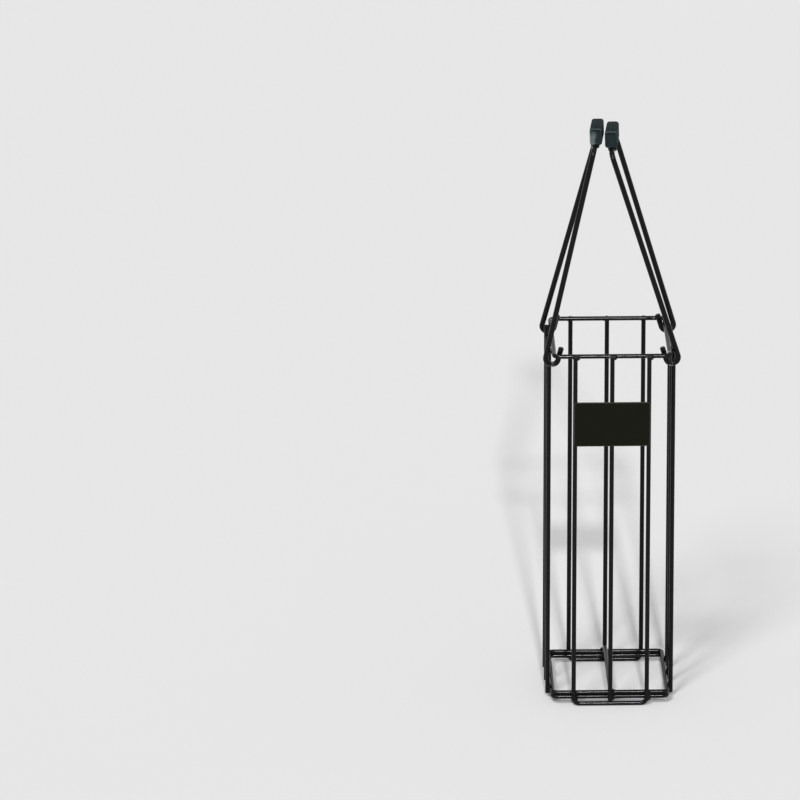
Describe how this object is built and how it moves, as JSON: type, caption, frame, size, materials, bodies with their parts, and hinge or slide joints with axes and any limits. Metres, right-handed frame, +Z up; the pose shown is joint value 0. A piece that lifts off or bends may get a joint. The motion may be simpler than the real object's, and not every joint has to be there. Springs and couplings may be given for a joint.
{
  "type": "tennis ball basket",
  "caption": "Slim square wire basket that picks up and stores tennis balls, with wire feet, a bare front plate and fold-down wire handles with moulded grips.",
  "frame": {"origin": "on the ground, under the middle of the cage", "axes": "+Z up; -Y is the front, with the plate; +X is the right-hand side seen from the front"},
  "size_m": [0.1535, 0.145, 0.6639],
  "materials": {
    "black_wire": "gloss black powder coat on steel wire",
    "handle_wire": "gloss black powder coat on steel wire, worn bright at the hooks",
    "plate": "satin black powder coat on sheet steel",
    "grip": "matte black moulded plastic"
  },
  "bodies": {
    "cage": {"top_ring": "black_wire", "bottom_ring_upper": "black_wire", "bottom_ring_lower": "black_wire", "floor_rod": "black_wire", "front_u_wire": "black_wire", "front_centre_wire": "black_wire", "back_u_wire": "black_wire", "back_centre_wire": "black_wire", "left_side_wire_front": "black_wire", "left_side_wire_centre": "black_wire", "left_side_wire_back": "black_wire", "right_side_wire_front": "black_wire", "right_side_wire_centre": "black_wire", "right_side_wire_back": "black_wire", "name_plate": "plate"},
    "left_handle": {"left_handle_wire": "handle_wire", "left_grip": "grip"},
    "right_handle": {"right_handle_wire": "handle_wire", "right_grip": "grip"}
  },
  "joints": [
    {"name": "left_handle_hinge", "type": "hinge", "parent": "cage", "child": "left_handle", "pos_m": [-0.06425, 0, 0.413], "axis": [0, -1, 0], "range_deg": [0, 183]},
    {"name": "right_handle_hinge", "type": "hinge", "parent": "cage", "child": "right_handle", "pos_m": [0.06425, 0, 0.413], "axis": [0, 1, 0], "range_deg": [0, 186.5]}
  ]
}
